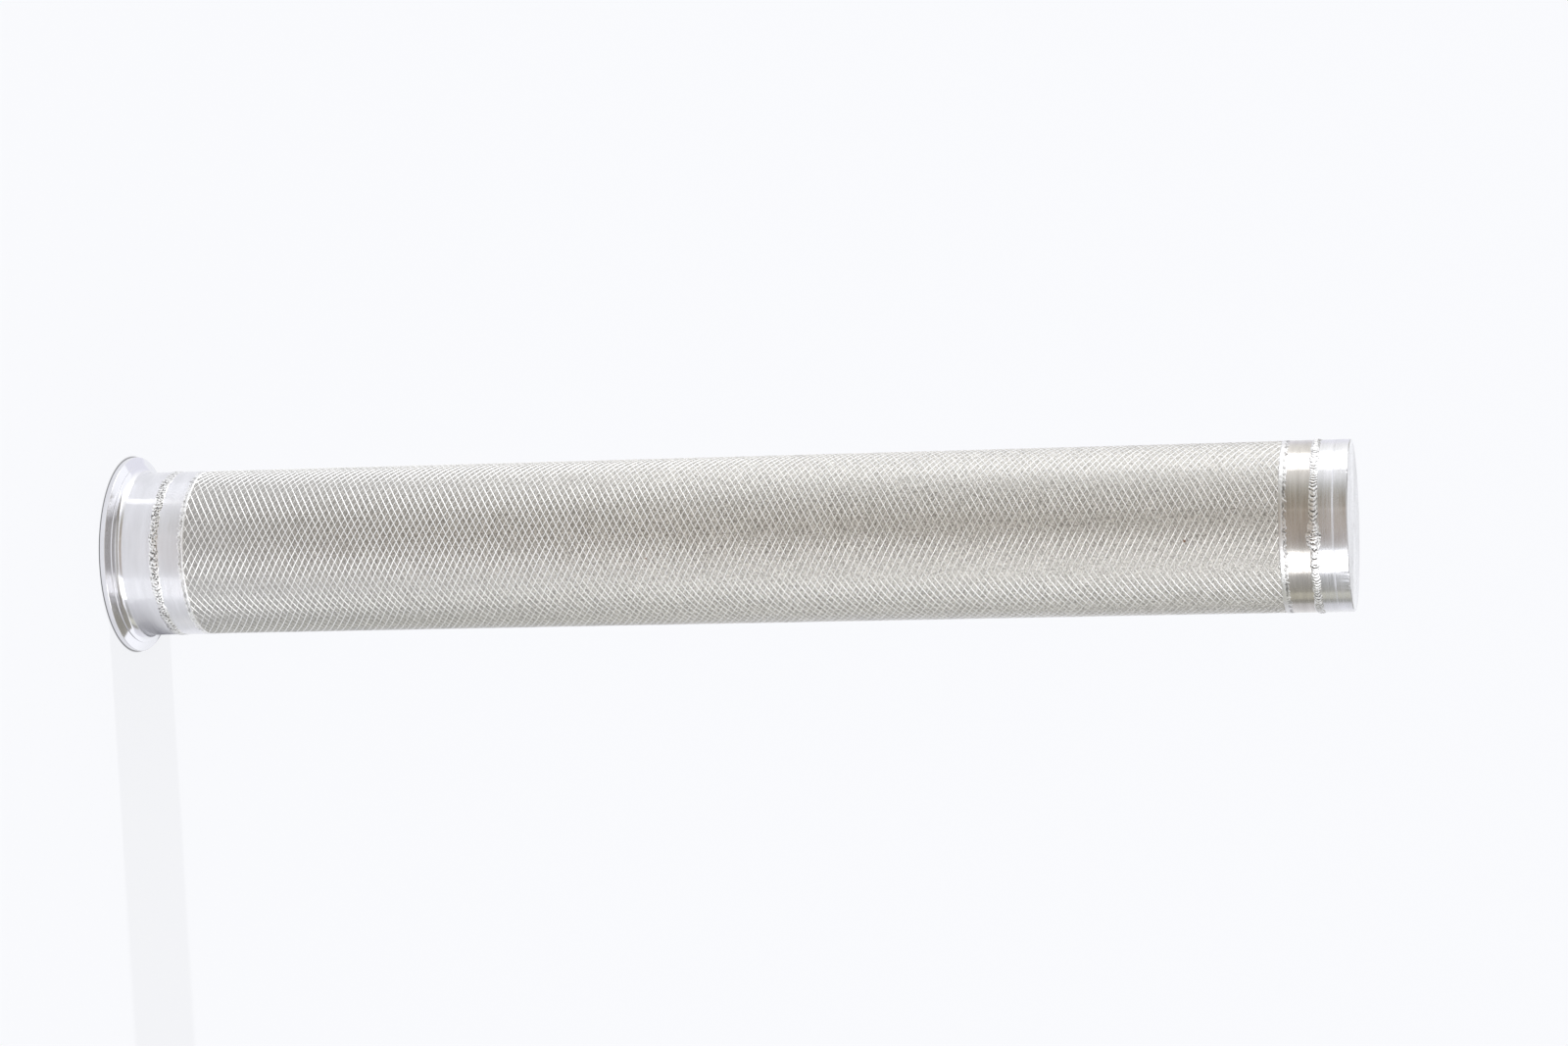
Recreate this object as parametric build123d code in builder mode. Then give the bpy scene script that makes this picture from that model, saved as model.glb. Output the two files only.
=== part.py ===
from build123d import *
import os
from math import cos, degrees, radians, sin, tan

# Metal filter tube: a welded stainless steel filter candle that stands on its clamp ferrule.
# Millimetres. +Z runs up the tube, and the origin is the centre of the ferrule's sealing face.
# The pieces follow each other up the tube: ferrule, lower ring, filter wall, upper ring, end cap.
# They butt square against each other, and a weld runs round the outside of each joint.

# Outside of the tube, of 3 inch sanitary size
tube_r = 38.1

# Lengths of the pieces along the tube
ferrule_height = 23.4
lower_ring_length = 13.3
filter_length = 503.2
upper_ring_length = 14.0
cap_height = 14.7

# Layers of the filter wall, from outside to inside
guard_thickness = 0.6
felt_thickness = 0.6
core_thickness = 1.0

# Clamp ferrule
ferrule_wall = 1.65
rim_overhang = 7.4
rim_edge = 2.6
rim_taper_deg = 20.0
rim_edge_break = 0.4
neck_fillet = 3.5
gasket_groove_inset = 3.85
gasket_groove_width = 4.4
gasket_groove_floor = 2.0
gasket_groove_depth = 1.5

# End cap
cap_wall = 2.2
cap_end_thickness = 5.0
cap_edge_break = 0.4
centre_mark_r = 0.8
centre_mark_depth = 0.6

# Butt welds at the ferrule and at the cap. The toe is the sloping edge on each side of the
# crown, where the weld metal runs out onto the tube.
butt_weld_width = 4.6
butt_weld_crown = 0.45
butt_weld_toe = 1.3

# Flatter welds that fuse the filter wall to its rings
edge_weld_width = 2.6
edge_weld_crown = 0.15
edge_weld_toe = 0.7

# Weld metal piled up where the cap's weld was stopped
blob_r = 5.5
blob_height = 0.95
blob_azimuth = -82.0

# Seams along the rolled layers, on the side away from the weld blob
seam_azimuth = 90.0
sleeve_seam_width = 1.6
core_seam_width = 1.2

# Windows punched in the support core, in rows that are staggered by half a pitch. There are
# as many rows as fit between the plain margins that its two ends need.
windows_round = 8
window_width = 9.0
window_length = 66.0
window_row_pitch = 76.0
core_end_margin = 14.0

# Radii and heights that follow from these sizes
rim_r = tube_r + rim_overhang
gasket_groove_r = rim_r - gasket_groove_inset
guard_in_r = tube_r - guard_thickness
felt_in_r = guard_in_r - felt_thickness
core_in_r = felt_in_r - core_thickness
ferrule_bore_r = tube_r - ferrule_wall
ring_base = ferrule_height
filter_base = ring_base + lower_ring_length
filter_top = filter_base + filter_length
cap_base = filter_top + upper_ring_length
cap_top = cap_base + cap_height


def plane_at(azimuth):
    """A plane through the tube's axis, with its X pointing outwards at this azimuth."""
    return Plane(
        origin=(0, 0, 0),
        x_dir=(cos(radians(azimuth)), sin(radians(azimuth)), 0),
        z_dir=(sin(radians(azimuth)), -cos(radians(azimuth)), 0),
    )


def tube_wall(inner_r, outer_r, base, top, start_azimuth=0.0, arc=360.0):
    """A tube, or the stretch of one that starts at an azimuth and runs through an arc."""
    with BuildPart() as wall:
        with BuildSketch(plane_at(start_azimuth)):
            with BuildLine():
                Polyline((inner_r, base), (outer_r, base), (outer_r, top), (inner_r, top), close=True)
            make_face()
        revolve(axis=Axis.Z, revolution_arc=arc)
    return wall.part


def finish(part, name):
    """Labels a finished piece and writes it to its own file."""
    part.label = name
    export_step(part, f"parts/{name}.step")


os.makedirs("parts", exist_ok=True)

# Clamp ferrule: turned, with a rim that a hinged clamp closes on, tapered at the back,
# and a groove with sloping sides in its sealing face for the gasket's bead
taper_top = rim_edge + (rim_r - tube_r) * tan(radians(rim_taper_deg))
with BuildPart() as clamp_ferrule:
    with BuildSketch(Plane.XZ):
        with BuildLine():
            FilletPolyline(
                (ferrule_bore_r, 0),
                (gasket_groove_r - gasket_groove_width / 2, 0),
                (gasket_groove_r - gasket_groove_floor / 2, gasket_groove_depth),
                (gasket_groove_r + gasket_groove_floor / 2, gasket_groove_depth),
                (gasket_groove_r + gasket_groove_width / 2, 0),
                (rim_r - rim_edge_break, 0),
                (rim_r, rim_edge_break),
                (rim_r, rim_edge),
                (tube_r, taper_top),
                (tube_r, ferrule_height),
                (ferrule_bore_r, ferrule_height),
                radius=[0] * 8 + [neck_fillet] + [0] * 2,
                close=True,
            )
        make_face()
    revolve(axis=Axis.Z)
finish(clamp_ferrule.part, "clamp_ferrule")

# Plain tube rings between the ferrule and the filter wall, and between that and the cap
finish(tube_wall(core_in_r, tube_r, ring_base, filter_base), "lower_ring")
finish(tube_wall(core_in_r, tube_r, filter_top, cap_base), "upper_ring")

# End cap: turned cup with a flat closed end, and the small mark that the lathe centre left
with BuildPart() as end_cap:
    with BuildSketch(Plane.XZ):
        with BuildLine():
            Polyline(
                (tube_r - cap_wall, cap_base),
                (tube_r, cap_base),
                (tube_r, cap_top - cap_edge_break),
                (tube_r - cap_edge_break, cap_top),
                (centre_mark_r, cap_top),
                (0, cap_top - centre_mark_depth),
                (0, cap_top - cap_end_thickness),
                (tube_r - cap_wall, cap_top - cap_end_thickness),
                close=True,
            )
        make_face()
    revolve(axis=Axis.Z)
finish(end_cap.part, "end_cap")

# Expanded metal guard and, inside it, the filter medium of sintered steel fibre felt. They
# are rolled together and open only along their seam. The guard's diamonds are 3 mm by 6 mm
# and number over thirteen thousand, so this solid is the envelope of its sheet.
sleeve_seam_arc = degrees(sleeve_seam_width / tube_r)
sleeve_start = seam_azimuth + sleeve_seam_arc / 2
sleeve_arc = 360 - sleeve_seam_arc
guard = tube_wall(guard_in_r, tube_r, filter_base, filter_top, sleeve_start, sleeve_arc)
finish(guard, "expanded_guard")
felt = tube_wall(felt_in_r, guard_in_r, filter_base, filter_top, sleeve_start, sleeve_arc)
finish(felt, "fibre_felt")

# Seam weld that closes the guard and the felt, through both layers
sleeve_seam = tube_wall(
    felt_in_r,
    tube_r,
    filter_base,
    filter_top,
    seam_azimuth - sleeve_seam_arc / 2,
    sleeve_seam_arc,
)
finish(sleeve_seam, "sleeve_seam_weld")

# Support core: punched sheet rolled to a tube that the felt bears on when the flow
# presses inwards. Its windows miss the seam, and every other row is turned half a pitch.
core_seam_arc = degrees(core_seam_width / tube_r)
core_start = seam_azimuth + core_seam_arc / 2
window_step = 360 / windows_round
window_tool_depth = 4 * core_thickness
windowed_length = filter_length - 2 * core_end_margin
window_rows = 1 + int((windowed_length - window_length) / window_row_pitch)
first_window_height = (filter_base + filter_top - (window_rows - 1) * window_row_pitch) / 2
with BuildPart() as support_core:
    add(tube_wall(core_in_r, felt_in_r, filter_base, filter_top, core_start, 360 - core_seam_arc))
    for row in range(window_rows):
        row_azimuth = seam_azimuth + window_step * (0.25 + 0.5 * (row % 2))
        with Locations((0, 0, first_window_height + row * window_row_pitch)):
            with PolarLocations(felt_in_r, windows_round, start_angle=row_azimuth):
                Box(window_tool_depth, window_width, window_length, mode=Mode.SUBTRACT)
finish(support_core.part, "support_core")

# Seam weld of the support core
core_seam = tube_wall(
    core_in_r,
    felt_in_r,
    filter_base,
    filter_top,
    seam_azimuth - core_seam_arc / 2,
    core_seam_arc,
)
finish(core_seam, "core_seam_weld")


def weld_ring(joint_height, width, crown, toe):
    """A weld that lies round the tube across a joint, with a crown between two sloping toes."""
    with BuildPart() as weld:
        with BuildSketch(Plane.XZ):
            with BuildLine():
                Polyline(
                    (tube_r, joint_height - width / 2),
                    (tube_r + crown, joint_height - width / 2 + toe),
                    (tube_r + crown, joint_height + width / 2 - toe),
                    (tube_r, joint_height + width / 2),
                    close=True,
                )
            make_face()
        revolve(axis=Axis.Z)
    return weld.part


# Welds at the two ends of the filter wall, one solid each
with BuildPart() as edge_welds:
    for joint_height in (filter_base, filter_top):
        add(weld_ring(joint_height, edge_weld_width, edge_weld_crown, edge_weld_toe))
finish(edge_welds.part, "edge_welds")

# Welds at the ferrule and at the cap, one solid each. The cap's has a blob of metal where
# the arc was stopped.
blob_centre_r = tube_r + blob_height - blob_r
blob_x = blob_centre_r * cos(radians(blob_azimuth))
blob_y = blob_centre_r * sin(radians(blob_azimuth))
with BuildPart() as butt_welds:
    with Locations((blob_x, blob_y, cap_base)):
        Sphere(blob_r)
    with Locations((0, 0, cap_base)):
        Cylinder(tube_r, 4 * blob_r, mode=Mode.SUBTRACT)
    for joint_height in (ring_base, cap_base):
        add(weld_ring(joint_height, butt_weld_width, butt_weld_crown, butt_weld_toe))
finish(butt_welds.part, "butt_welds")
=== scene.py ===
from math import cos, pi, radians, sin, tan

import bpy
import numpy as np
from mathutils import Matrix, Vector


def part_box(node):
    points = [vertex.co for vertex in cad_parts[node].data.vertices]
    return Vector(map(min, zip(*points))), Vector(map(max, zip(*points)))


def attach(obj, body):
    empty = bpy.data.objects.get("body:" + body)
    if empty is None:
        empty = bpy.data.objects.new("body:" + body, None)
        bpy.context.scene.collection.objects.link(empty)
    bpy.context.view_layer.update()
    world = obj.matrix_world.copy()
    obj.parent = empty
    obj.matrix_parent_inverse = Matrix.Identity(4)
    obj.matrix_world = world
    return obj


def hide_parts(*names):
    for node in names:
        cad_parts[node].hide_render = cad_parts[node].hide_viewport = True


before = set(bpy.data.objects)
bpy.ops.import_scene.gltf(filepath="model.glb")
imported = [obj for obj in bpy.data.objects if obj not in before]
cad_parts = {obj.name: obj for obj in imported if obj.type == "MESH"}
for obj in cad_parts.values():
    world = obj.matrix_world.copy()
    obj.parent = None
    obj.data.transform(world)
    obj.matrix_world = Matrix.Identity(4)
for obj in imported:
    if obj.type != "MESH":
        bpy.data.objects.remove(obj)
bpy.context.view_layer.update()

# The scene is in metres, and MM turns millimetres into them.
MM = 0.001

# Heights and radii that the frame gives
TUBE_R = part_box("upper_ring")[1].x
RIM_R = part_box("clamp_ferrule")[1].x
FERRULE_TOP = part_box("clamp_ferrule")[1].z
FILTER_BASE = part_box("expanded_guard")[0].z
FILTER_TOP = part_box("expanded_guard")[1].z
FELT_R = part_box("fibre_felt")[1].x
CAP_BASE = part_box("end_cap")[0].z
CAP_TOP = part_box("end_cap")[1].z

# Azimuths in degrees, counted as in the frame: -90 faces the photograph's camera.
SEAM_AZIMUTH = 90
BLOB_AZIMUTH = -82

# The felt's inner face bears on the support core
FELT_THICKNESS = 0.6 * MM

# Brown specks on the filter wall, by azimuth, height and radius
SPECKS = [(-82.2, 497.9 * MM, 0.9 * MM), (-78.7, 256.4 * MM, 0.6 * MM)]


# Tools for materials

def linear(colour):
    """An sRGB hex colour as the linear red, green, blue and alpha that a socket takes."""
    values = [int(colour[i:i + 2], 16) / 255 for i in (1, 3, 5)]
    return [v / 12.92 if v <= 0.04045 else ((v + 0.055) / 1.055) ** 2.4 for v in values] + [1]


def add_node(tree, kind, settings=None, **links):
    """Adds a node, sets its properties, and sets or links its inputs, which are named with
    underscores for spaces, or as in_0 by their number. The setting stops is a colour ramp's
    list of positions and colours."""
    node = tree.nodes.new(kind)
    for name, value in (settings or {}).items():
        if name == "stops":
            set_stops(node.color_ramp.elements, value)
        else:
            setattr(node, name, value)
    for name, value in links.items():
        key = int(name[3:]) if name.startswith("in_") else name.replace("_", " ")
        if isinstance(value, bpy.types.NodeSocket):
            tree.links.new(value, node.inputs[key])
        else:
            node.inputs[key].default_value = value
    return node


def set_stops(elements, stops):
    """Gives a new colour ramp these stops in place of its black and white."""
    elements.remove(elements[1])
    elements[0].position = stops[0][0]
    for position, colour in stops:
        element = elements[0] if position == stops[0][0] else elements.new(position)
        element.color = linear(colour)


def new_metal(name):
    """A metal's material, its node tree and its shader."""
    material = bpy.data.materials.new(name)
    material.use_nodes = True
    tree = material.node_tree
    tree.nodes.clear()
    shader = add_node(tree, "ShaderNodeBsdfPrincipled", Metallic=1.0)
    add_node(tree, "ShaderNodeOutputMaterial", Surface=shader.outputs[0])
    return material, tree, shader


def round_and_along(tree, place):
    """A point of the tube as a direction round the axis, and as its height and radius added
    up, which grows along a wall, a taper and an end face alike."""
    flat = add_node(
        tree, "ShaderNodeVectorMath", {"operation": "MULTIPLY"}, in_0=place, in_1=(1, 1, 0)
    ).outputs[0]
    radius = add_node(
        tree, "ShaderNodeVectorMath", {"operation": "LENGTH"}, in_0=flat
    ).outputs["Value"]
    around = add_node(
        tree, "ShaderNodeVectorMath", {"operation": "NORMALIZE"}, in_0=flat
    ).outputs[0]
    height = add_node(tree, "ShaderNodeSeparateXYZ", Vector=place).outputs["Z"]
    along = add_node(
        tree, "ShaderNodeMath", {"operation": "ADD"}, in_0=height, in_1=radius
    ).outputs[0]
    return around, along


def rings(tree, around, along, pitch, change):
    """Noise drawn out into rings round the tube. pitch is the rings' spacing, and change says
    how much they alter on the way round."""
    turned = add_node(
        tree, "ShaderNodeVectorMath", {"operation": "SCALE"}, in_0=around, Scale=change
    ).outputs[0]
    counted = add_node(
        tree, "ShaderNodeMath", {"operation": "DIVIDE"}, in_0=along, in_1=pitch
    ).outputs[0]
    lifted = add_node(tree, "ShaderNodeCombineXYZ", Z=counted).outputs[0]
    joined = add_node(
        tree, "ShaderNodeVectorMath", {"operation": "ADD"}, in_0=turned, in_1=lifted
    ).outputs[0]
    return add_node(
        tree, "ShaderNodeTexNoise", Vector=joined, Scale=1.0, Detail=2.0, Roughness=0.6
    ).outputs["Fac"]


def grain(tree, place, size, roughness=0.6):
    """Noise whose specks are about this size."""
    return add_node(
        tree,
        "ShaderNodeTexNoise",
        Vector=place,
        Scale=0.5 / size,
        Detail=3.0,
        Roughness=roughness,
    ).outputs["Fac"]


def between(tree, factor, low, high):
    """Turns noise, which keeps near a half, into a number that runs from low to high."""
    return add_node(
        tree,
        "ShaderNodeMapRange",
        in_0=factor,
        From_Min=0.3,
        From_Max=0.7,
        To_Min=low,
        To_Max=high,
    ).outputs[0]


def with_specks(tree, place, colour):
    """A colour with the brown specks of the filter wall in it, soft at their edges."""
    for azimuth, height, size in SPECKS:
        turn = radians(azimuth)
        distance = add_node(
            tree,
            "ShaderNodeVectorMath",
            {"operation": "DISTANCE"},
            in_0=place,
            in_1=(TUBE_R * cos(turn), TUBE_R * sin(turn), height),
        ).outputs["Value"]
        share = add_node(
            tree, "ShaderNodeMapRange", in_0=distance, From_Min=size, From_Max=size * 0.3
        ).outputs[0]
        colour = add_node(
            tree,
            "ShaderNodeMix",
            {"data_type": "RGBA"},
            in_0=share,
            in_6=colour,
            in_7=linear("#7A5840"),
        ).outputs[2]
    return colour


# Materials

RIM_FINISH_BELOW = 5 * MM
TUBE_FINISH_ABOVE = 9 * MM


def lined_steel(name, dark, pale, roughness, ragged, pitch, depth, anisotropy, rim=1.0):
    """Stainless steel with fine lines round the tube. They spread a reflection along the tube
    and keep its edges sharp round it, but ragged, since every line is polished differently.
    Real lines are a tenth of a millimetre apart, too fine to show, and are drawn coarser.
    rim says how much finer the finish is down at the ferrule's rim."""
    material, tree, shader = new_metal(name)
    place = add_node(tree, "ShaderNodeTexCoord").outputs["Object"]
    around, along = round_and_along(tree, place)
    lines = rings(tree, around, along, pitch, 2.0)
    broad = rings(tree, around, along, pitch * 6, 1.2)
    colour = add_node(
        tree, "ShaderNodeValToRGB", {"stops": [(0.35, dark), (0.65, pale)]}, Fac=broad
    ).outputs["Color"]
    tree.links.new(colour, shader.inputs["Base Color"])
    uneven = between(tree, lines, roughness * (1 - ragged), roughness * (1 + ragged))
    height = add_node(tree, "ShaderNodeSeparateXYZ", Vector=place).outputs["Z"]
    finer = add_node(
        tree,
        "ShaderNodeMapRange",
        in_0=height,
        From_Min=RIM_FINISH_BELOW,
        From_Max=TUBE_FINISH_ABOVE,
        To_Min=rim,
        To_Max=1.0,
    ).outputs[0]
    finish = add_node(tree, "ShaderNodeMath", {"operation": "MULTIPLY"}, in_0=uneven, in_1=finer)
    tree.links.new(finish.outputs[0], shader.inputs["Roughness"])
    bump = add_node(tree, "ShaderNodeBump", Strength=0.5, Distance=depth, Height=lines)
    tree.links.new(bump.outputs[0], shader.inputs["Normal"])
    tangent = add_node(tree, "ShaderNodeTangent", {"direction_type": "RADIAL", "axis": "Z"})
    tree.links.new(tangent.outputs[0], shader.inputs["Tangent"])
    shader.inputs["Anisotropic"].default_value = anisotropy
    shader.inputs["Anisotropic Rotation"].default_value = 0.25
    return material


def weld_steel():
    """Weld metal, brushed clean: bright on its ripples, and darker in the hollows between them,
    where painted shade falls. The pieces give each point's share of hollow."""
    material, tree, shader = new_metal("stainless_weld_bead")
    place = add_node(tree, "ShaderNodeTexCoord").outputs["Object"]
    specks = grain(tree, place, 0.5 * MM)
    hollow = add_node(tree, "ShaderNodeAttribute", {"attribute_name": "hollow"}).outputs["Fac"]
    # Painted shade: the larger a point's share of hollow, the darker its colour
    stops = [(0.1, "#F6F6F6"), (0.45, "#B4B3B2"), (0.9, "#5E5C5A")]
    colour = add_node(tree, "ShaderNodeValToRGB", {"stops": stops}, Fac=hollow)
    tree.links.new(colour.outputs["Color"], shader.inputs["Base Color"])
    tree.links.new(between(tree, specks, 0.42, 0.26), shader.inputs["Roughness"])
    bump = add_node(tree, "ShaderNodeBump", Strength=0.7, Distance=0.12 * MM, Height=specks)
    tree.links.new(bump.outputs[0], shader.inputs["Normal"])
    return material


def expanded_steel():
    """Expanded stainless sheet: the cut strands are bright and smooth, with patches that the
    stretching left a little duller."""
    material, tree, shader = new_metal("expanded_stainless")
    place = add_node(tree, "ShaderNodeTexCoord").outputs["Object"]
    specks = grain(tree, place, 1.5 * MM)
    colour = add_node(
        tree, "ShaderNodeValToRGB", {"stops": [(0.35, "#F0F0EF"), (0.65, "#FBFBFA")]}, Fac=specks
    ).outputs["Color"]
    tree.links.new(with_specks(tree, place, colour), shader.inputs["Base Color"])
    tree.links.new(between(tree, specks, 0.21, 0.35), shader.inputs["Roughness"])
    return material


FELT_EVEN_BELOW = 40 * MM
FELT_MOTTLED_ABOVE = 260 * MM


def felt_steel():
    """Sintered felt of stainless fibres: a dull, grainy grey that glitters where fibres cross,
    even near the ferrule and more mottled from half way up. The fibres are a few hundredths
    of a millimetre thick, too fine to show, and the grain is drawn coarser."""
    material, tree, shader = new_metal("sintered_fibre_felt")
    place = add_node(tree, "ShaderNodeTexCoord").outputs["Object"]
    fibres = grain(tree, place, 0.38 * MM, 0.7)
    height = add_node(tree, "ShaderNodeSeparateXYZ", Vector=place).outputs["Z"]
    upper = add_node(
        tree,
        "ShaderNodeMapRange",
        in_0=height,
        From_Min=FELT_EVEN_BELOW,
        From_Max=FELT_MOTTLED_ABOVE,
    ).outputs[0]
    below = add_node(
        tree, "ShaderNodeValToRGB", {"stops": [(0.34, "#9B9A99"), (0.66, "#D5D4D2")]}, Fac=fibres
    ).outputs["Color"]
    above = add_node(
        tree, "ShaderNodeValToRGB", {"stops": [(0.36, "#908E8A"), (0.64, "#EBE9E5")]}, Fac=fibres
    ).outputs["Color"]
    colour = add_node(
        tree, "ShaderNodeMix", {"data_type": "RGBA"}, in_0=upper, in_6=below, in_7=above
    ).outputs[2]
    tree.links.new(with_specks(tree, place, colour), shader.inputs["Base Color"])
    tree.links.new(between(tree, fibres, 0.5, 0.72), shader.inputs["Roughness"])
    bump = add_node(tree, "ShaderNodeBump", Strength=0.7, Distance=0.12 * MM, Height=fibres)
    tree.links.new(bump.outputs[0], shader.inputs["Normal"])
    return material


def punched_steel():
    """Punched stainless sheet in mill finish: an even, soft grey, a little patchy."""
    material, tree, shader = new_metal("punched_stainless")
    place = add_node(tree, "ShaderNodeTexCoord").outputs["Object"]
    patches = grain(tree, place, 2.5 * MM)
    colour = add_node(
        tree, "ShaderNodeValToRGB", {"stops": [(0.3, "#BEBDBB"), (0.7, "#CFCECC")]}, Fac=patches
    ).outputs["Color"]
    tree.links.new(colour, shader.inputs["Base Color"])
    tree.links.new(between(tree, patches, 0.28, 0.42), shader.inputs["Roughness"])
    return material


# The cap was turned on a lathe, whose lines fray the ends of its white bands
turned = lined_steel(
    "turned_stainless",
    dark="#D2D2D4",
    pale="#DEDEE1",
    roughness=0.23,
    ragged=0.4,
    pitch=0.7 * MM,
    depth=0.01 * MM,
    anisotropy=0.88,
)

# The ferrule was turned and then polished: bright, with clean bands, and brightest at its rim
polished = lined_steel(
    "polished_stainless",
    dark="#E0E0E4",
    pale="#E8E8EC",
    roughness=0.2,
    ragged=0.12,
    pitch=1.2 * MM,
    depth=0.002 * MM,
    anisotropy=0.96,
    rim=0.5,
)

# The lower ring is rolled tube as it comes, almost as bright, its bands a little softer
rolled = lined_steel(
    "rolled_stainless_tube",
    dark="#E2E2E6",
    pale="#E9E9ED",
    roughness=0.24,
    ragged=0.14,
    pitch=1.0 * MM,
    depth=0.003 * MM,
    anisotropy=0.95,
)

# The upper ring was brushed round: duller and warmer, with marks that break up its bands
brushed = lined_steel(
    "brushed_stainless_tube",
    dark="#BEBAB5",
    pale="#CECAC5",
    roughness=0.23,
    ragged=0.35,
    pitch=0.6 * MM,
    depth=0.01 * MM,
    anisotropy=0.9,
)

weld_metal = weld_steel()
strand_steel = expanded_steel()
felt_metal = felt_steel()
punched = punched_steel()


# Tools for meshes

def mesh_object(name, vertices, faces, material, smooth_angle=None):
    """An object at the origin with this mesh and material."""
    mesh = bpy.data.meshes.new(name)
    mesh.from_pydata([tuple(v) for v in vertices], [], [tuple(f) for f in faces])
    mesh.materials.append(material)
    if smooth_angle is not None:
        mesh.polygons.foreach_set("use_smooth", [True] * len(mesh.polygons))
        mesh.set_sharp_from_angle(angle=radians(smooth_angle))
    piece = bpy.data.objects.new(name, mesh)
    bpy.context.scene.collection.objects.link(piece)
    return piece


def azimuths(segments):
    """Azimuths that go evenly round, in radians."""
    return np.arange(segments) * 2 * pi / segments


def ring_piece(name, radius, height, material, smooth_angle=30):
    """A closed ring round the axis. Each row of radius and height holds the points of its
    section at one azimuth, run anticlockwise, and the rows go evenly round."""
    segments, points = radius.shape
    azimuth = azimuths(segments)[:, None]
    vertices = np.stack([radius * np.cos(azimuth), radius * np.sin(azimuth), height], -1)
    here = np.arange(segments * points).reshape(segments, points)
    right = np.roll(here, -1, 0)
    faces = np.stack([here, right, np.roll(right, -1, 1), np.roll(here, -1, 1)], -1)
    return mesh_object(name, vertices.reshape(-1, 3), faces.reshape(-1, 4), material, smooth_angle)


def section(profile, segments):
    """The radii and heights of one profile of (radius, height) points, repeated all round."""
    profile = np.array(profile, float)
    return (
        np.repeat(profile[None, :, 0], segments, 0),
        np.repeat(profile[None, :, 1], segments, 0),
    )


CORNER_GAP = 0.04 * MM
LARGE_ROUNDING = 1 * MM


def rounded(corners):
    """A profile whose corners, given as (radius, height, rounding), are rounded by an arc. A
    point just off each end of the arc keeps the shading of the flat beside it even."""
    profile = []
    for i, (radius, height, rounding) in enumerate(corners):
        corner = Vector((radius, height))
        if not rounding:
            profile.append(tuple(corner))
            continue
        before = (Vector(corners[i - 1][:2]) - corner).normalized()
        after = (Vector(corners[(i + 1) % len(corners)][:2]) - corner).normalized()
        half = before.angle(after) / 2
        centre = corner + (before + after).normalized() * (rounding / sin(half))
        start = corner + before * (rounding / tan(half)) - centre
        end = corner + after * (rounding / tan(half)) - centre
        steps = 3 if rounding < LARGE_ROUNDING else 12
        profile.append(tuple(centre + start + before * CORNER_GAP))
        for step in range(steps + 1):
            share = step / steps
            arm = (start * (1 - share) + end * share).normalized() * rounding
            profile.append(tuple(centre + arm))
        profile.append(tuple(centre + end + after * CORNER_GAP))
    return profile


def wobble(seed, segments, bends, columns=None):
    """Smooth random numbers for points that go evenly round, about 1 in size. The more bends,
    the shorter their waves. With columns, each point has a row of them."""
    random = np.random.default_rng(seed)
    turns = np.arange(1, bends + 1)
    azimuth = azimuths(segments)
    shape = bends if columns is None else (bends, columns)
    waves = random.normal(size=shape), random.normal(size=shape)
    angle = np.outer(azimuth, turns)
    values = np.cos(angle) @ waves[0] + np.sin(angle) @ waves[1]
    return values / np.sqrt(bends)


def add_hollow(piece, hollow):
    """Gives a weld's points their share of hollow, from 0 on a crest to 1 in a pit, which the
    weld's colour darkens as painted shade. The two points at the back of each section have none."""
    values = np.hstack([hollow, np.zeros((len(hollow), 2))]).clip(0, 1)
    attribute = piece.data.attributes.new("hollow", "FLOAT", "POINT")
    attribute.data.foreach_set("value", values.astype(np.float32).ravel())


def put(piece, slot, *nodes):
    """Says what the piece rides on and what it stands for. Its slot is not used."""
    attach(piece, "root")
    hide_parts(*nodes)


def distance_from(azimuth, height, spot_azimuth, spot_height):
    """How far points of the tube's wall are from a spot on it, measured along the wall."""
    turn = (azimuth - radians(spot_azimuth) + pi) % (2 * pi) - pi
    return np.hypot(turn * TUBE_R, height - spot_height)


# Clamp ferrule, with the small step that the tool left where the taper nears the fillet

FERRULE_WALL = 1.65 * MM
BORE_ROUNDING = 0.15 * MM
GROOVE_R = RIM_R - 3.85 * MM
GROOVE_HALF_WIDTH = 2.2 * MM
GROOVE_HALF_FLOOR = 1.0 * MM
GROOVE_DEPTH = 1.5 * MM
GROOVE_ROUNDING = 0.3 * MM
RIM_EDGE = 2.6 * MM
RIM_FOOT_ROUNDING = 0.4 * MM
RIM_TOP_ROUNDING = 0.25 * MM
TAPER = tan(radians(20))
STEP_R = 41.6 * MM
STEP_RISE = 0.55 * MM
STEP_LEAN = 0.03 * MM
STEP_ROUNDING = 0.08 * MM
NECK_FILLET = 3.6 * MM
FERRULE_SEGMENTS = 384


def make_ferrule():
    bore_r = TUBE_R - FERRULE_WALL
    step_height = RIM_EDGE + (RIM_R - STEP_R) * TAPER
    taper_top = RIM_EDGE + (RIM_R - TUBE_R) * TAPER + STEP_RISE
    profile = rounded([
        (bore_r, 0, BORE_ROUNDING),
        (GROOVE_R - GROOVE_HALF_WIDTH, 0, GROOVE_ROUNDING),
        (GROOVE_R - GROOVE_HALF_FLOOR, GROOVE_DEPTH, GROOVE_ROUNDING),
        (GROOVE_R + GROOVE_HALF_FLOOR, GROOVE_DEPTH, GROOVE_ROUNDING),
        (GROOVE_R + GROOVE_HALF_WIDTH, 0, GROOVE_ROUNDING),
        (RIM_R, 0, RIM_FOOT_ROUNDING),
        (RIM_R, RIM_EDGE, RIM_TOP_ROUNDING),
        (STEP_R, step_height, 0),
        (STEP_R - STEP_LEAN, step_height + STEP_RISE, STEP_ROUNDING),
        (TUBE_R, taper_top, NECK_FILLET),
        (TUBE_R, FERRULE_TOP, 0),
        (bore_r, FERRULE_TOP, 0),
    ])
    piece = ring_piece("ferrule", *section(profile, FERRULE_SEGMENTS), polished)
    put(piece, "turned_steel", "clamp_ferrule")


make_ferrule()


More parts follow.
